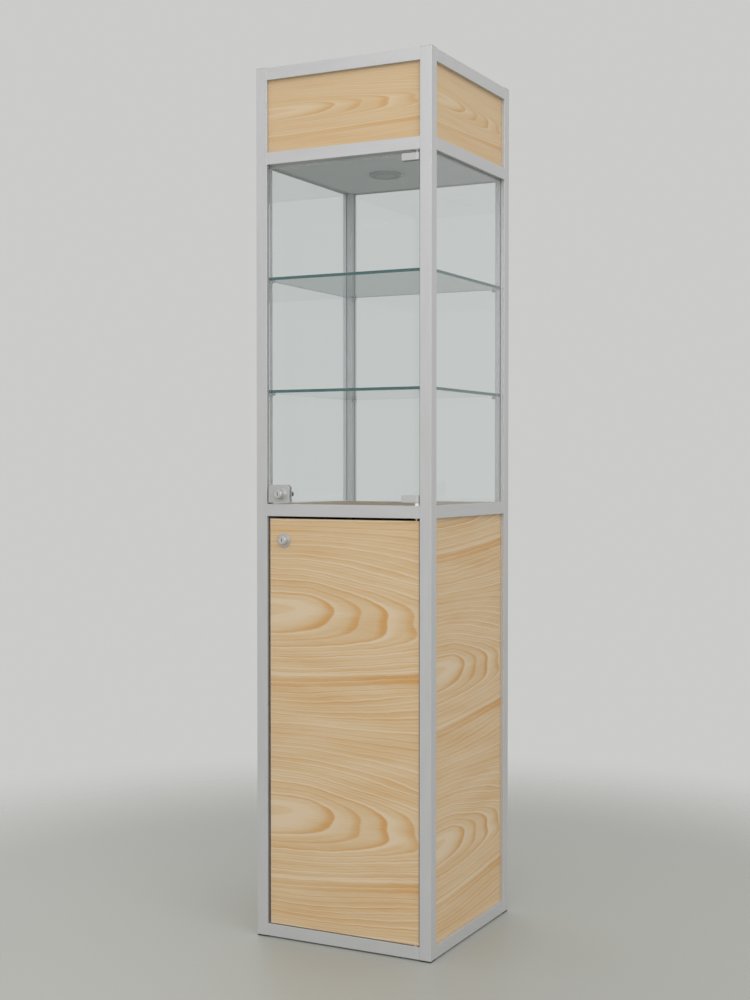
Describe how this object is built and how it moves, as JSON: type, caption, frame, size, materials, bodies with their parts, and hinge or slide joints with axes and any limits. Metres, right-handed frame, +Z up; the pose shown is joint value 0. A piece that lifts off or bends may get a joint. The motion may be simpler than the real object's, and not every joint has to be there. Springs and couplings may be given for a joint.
{
  "type": "pedestal display case",
  "caption": "Square free-standing display case: glazed showcase with glass shelves and lamp above a lockable wooden cabinet, in an aluminium tube frame.",
  "frame": {"origin": "on the floor, in the middle of the square footprint of the frame", "axes": "+X to the right seen from the front, +Y to the back, +Z up; the doors face -Y"},
  "size_m": [0.4, 0.416, 1.803],
  "materials": {
    "aluminium": "satin anodised tube",
    "connector_zinc": "zinc alloy die casting, plain",
    "cap_plastic": "grey moulded plastic, matt",
    "glide_nylon": "black nylon, matt",
    "laminate": "oak-grain laminate, matt",
    "ceiling_board": "white coated board, matt",
    "cleat_aluminium": "mill finish",
    "clear_glass": "clear float glass, polished edges",
    "shelf_glass": "clear float glass, polished edges",
    "rubber": "grey rubber, matt",
    "peg_steel": "zinc plated",
    "lamp_metal": "satin",
    "lamp_opal": "opal diffuser",
    "driver_plastic": "white moulded plastic",
    "bush_nylon": "natural nylon",
    "steel": "zinc plated",
    "hinge_metal": "satin chrome",
    "screw_steel": "blackened",
    "lock_metal": "satin chrome",
    "plug_metal": "bright nickel"
  },
  "bodies": {
    "case": {"post_front_left": "aluminium", "post_front_right": "aluminium", "post_back_left": "aluminium", "post_back_right": "aluminium", "base_rail_front": "aluminium", "base_rail_back": "aluminium", "base_rail_left": "aluminium", "base_rail_right": "aluminium", "deck_rail_front": "aluminium", "deck_rail_back": "aluminium", "deck_rail_left": "aluminium", "deck_rail_right": "aluminium", "canopy_rail_front": "aluminium", "canopy_rail_back": "aluminium", "canopy_rail_left": "aluminium", "canopy_rail_right": "aluminium", "top_rail_front": "aluminium", "top_rail_back": "aluminium", "top_rail_left": "aluminium", "top_rail_right": "aluminium", "rail_connectors": "connector_zinc", "post_caps": "cap_plastic", "foot_glides": "glide_nylon", "floor_panel": "laminate", "deck_panel": "laminate", "ceiling_panel": "ceiling_board", "top_panel": "laminate", "panel_cleats": "cleat_aluminium", "cabinet_side_left": "laminate", "cabinet_side_right": "laminate", "cabinet_back": "laminate", "side_glass_left": "clear_glass", "side_glass_right": "clear_glass", "back_glass": "clear_glass", "glazing_gaskets": "rubber", "header_front": "laminate", "header_back": "laminate", "header_left": "laminate", "header_right": "laminate", "shelf_lower": "shelf_glass", "shelf_upper": "shelf_glass", "shelf_pegs": "peg_steel", "lamp_housing": "lamp_metal", "lamp_lens": "lamp_opal", "lamp_driver": "driver_plastic", "cable_grommet": "rubber", "pivot_bushes": "bush_nylon", "door_keepers": "steel"},
    "glass_door": {"glass_door_pane": "clear_glass", "glass_hinge_upper": "hinge_metal", "glass_hinge_lower": "hinge_metal", "glass_hinge_screws": "screw_steel", "glass_lock_body": "lock_metal"},
    "glass_lock": {"glass_lock_plug": "plug_metal", "glass_lock_cam": "steel"},
    "cabinet_door": {"cabinet_door_panel": "laminate", "cabinet_pivot_plates": "steel", "cabinet_lock_housing": "lock_metal"},
    "cabinet_lock": {"cabinet_lock_plug": "plug_metal", "cabinet_lock_cam": "steel"}
  },
  "joints": [
    {"name": "glass_door_swing", "type": "hinge", "parent": "case", "child": "glass_door", "pos_m": [0.1665, -0.193, 0.903], "axis": [0, 0, 1], "range_deg": [0, 95]},
    {"name": "cabinet_door_swing", "type": "hinge", "parent": "case", "child": "cabinet_door", "pos_m": [0.163, -0.1885, 0.0295], "axis": [0, 0, 1], "range_deg": [0, 100]},
    {"name": "glass_lock_turn", "type": "hinge", "parent": "glass_door", "child": "glass_lock", "pos_m": [-0.1415, -0.2, 0.924], "axis": [0, -1, 0], "range_deg": [0, 180]},
    {"name": "cabinet_lock_turn", "type": "hinge", "parent": "cabinet_door", "child": "cabinet_lock", "pos_m": [-0.1355, -0.196, 0.829], "axis": [0, 1, 0], "range_deg": [0, 90]}
  ]
}
